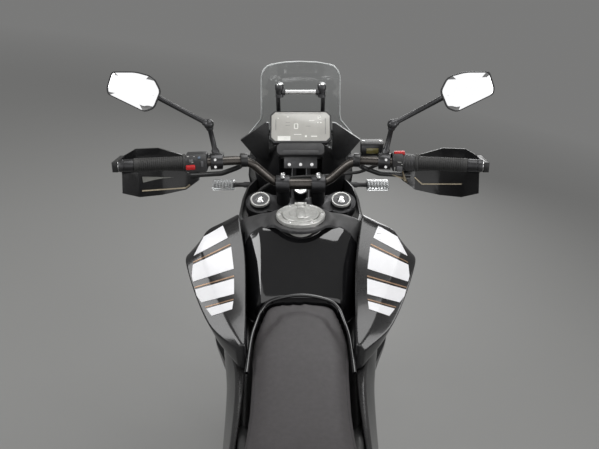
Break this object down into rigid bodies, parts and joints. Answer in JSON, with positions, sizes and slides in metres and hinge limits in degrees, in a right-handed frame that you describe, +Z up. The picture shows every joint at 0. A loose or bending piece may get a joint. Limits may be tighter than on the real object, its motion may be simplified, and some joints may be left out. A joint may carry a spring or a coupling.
{
  "type": "adventure motorcycle",
  "caption": "Adventure motorcycle leaning on its side stand, with wire wheels, tall clear screen, hand guards, mirrors and a rear rack.",
  "frame": {"origin": "on the floor under the middle of the machine's box, as it leans on its side stand", "axes": "+Y forward along the wheels' line, +Z up from the floor, +X to the rider's right"},
  "size_m": [0.9354, 2.205, 1.4522],
  "materials": {
    "tyre": "satin",
    "rim": "satin",
    "disc": "satin",
    "chain": "satin",
    "frame": "satin",
    "swingarm": "satin",
    "engine": "satin",
    "exhaust": "satin",
    "muffler": "satin",
    "gloss_panel": "gloss",
    "matte_panel": "matte",
    "seat": "matte",
    "fork": "satin",
    "clamp": "satin",
    "bar": "satin",
    "grip": "matte",
    "switch": "matte",
    "lever": "satin",
    "mirror": "matte",
    "screen": "gloss",
    "lamp": "gloss",
    "red_lamp": "gloss",
    "cap": "satin",
    "hose": "satin",
    "display": "gloss",
    "spring": "gloss",
    "radiator": "satin",
    "axle": "satin"
  },
  "bodies": {
    "chassis": {"rear_axle": "axle", "main_frame": "frame", "swingarm": "swingarm", "drive_chain": "chain", "engine": "engine", "exhaust_header": "exhaust", "muffler": "muffler", "subframe": "frame", "rear_shock": "spring", "rear_caliper": "clamp", "radiator": "radiator", "skid_plate": "matte_panel", "foot_rests": "clamp", "foot_levers": "clamp", "fairing_stay": "frame", "dash": "display", "screen_bracket": "bar", "windscreen": "screen", "headlamp": "lamp", "nose_fairing": "gloss_panel", "indicators": "lamp", "filler_ring": "cap", "fuel_tank": "gloss_panel", "right_shroud": "gloss_panel", "left_shroud": "gloss_panel", "right_cowl": "matte_panel", "left_cowl": "matte_panel", "right_side_panel": "gloss_panel", "left_side_panel": "gloss_panel", "rider_seat": "seat", "pillion_seat": "seat", "tail_lamp": "red_lamp", "rear_mudguard": "matte_panel", "rear_rack": "clamp"},
    "steering": {"front_axle": "axle", "fork_legs": "fork", "handlebar": "bar", "triple_clamps": "clamp", "grips": "grip", "switch_housings": "switch", "hand_levers": "lever", "mirrors": "mirror", "hand_guards": "matte_panel", "front_mudguard": "matte_panel", "front_caliper": "clamp", "hoses": "hose"},
    "front_wheel": {"front_tyre": "tyre", "front_rim": "rim", "front_disc": "disc"},
    "rear_wheel": {"rear_tyre": "tyre", "rear_rim": "rim", "rear_disc": "disc", "rear_sprocket": "chain"},
    "side_stand": {"side_stand": "frame"},
    "fuel_lid": {"filler_lid": "cap"}
  },
  "joints": [
    {"name": "steering_turn", "type": "hinge", "parent": "chassis", "child": "steering", "pos_m": [0.06326, 0.39589, 0.91237], "axis": [-0.17, -0.454, 0.8746], "range_deg": [-38, 38]},
    {"name": "front_wheel_turn", "type": "hinge", "parent": "steering", "child": "front_wheel", "pos_m": [0.17402, 0.7545, 0.34257], "axis": [0.9816, 0, 0.1908], "continuous": true},
    {"name": "rear_wheel_turn", "type": "hinge", "parent": "chassis", "child": "rear_wheel", "pos_m": [0.1779, -0.7505, 0.3226], "axis": [0.9816, 0, 0.1908], "continuous": true},
    {"name": "stand_fold", "type": "hinge", "parent": "chassis", "child": "side_stand", "pos_m": [0.04861, -0.2505, 0.25403], "axis": [-0.9205, 0, 0.3909], "range_deg": [0, 88]},
    {"name": "lid_open", "type": "hinge", "parent": "chassis", "child": "fuel_lid", "pos_m": [0.03345, 0.25709, 1.06573], "axis": [-0.9816, 0, -0.1908], "range_deg": [0, 100]}
  ]
}
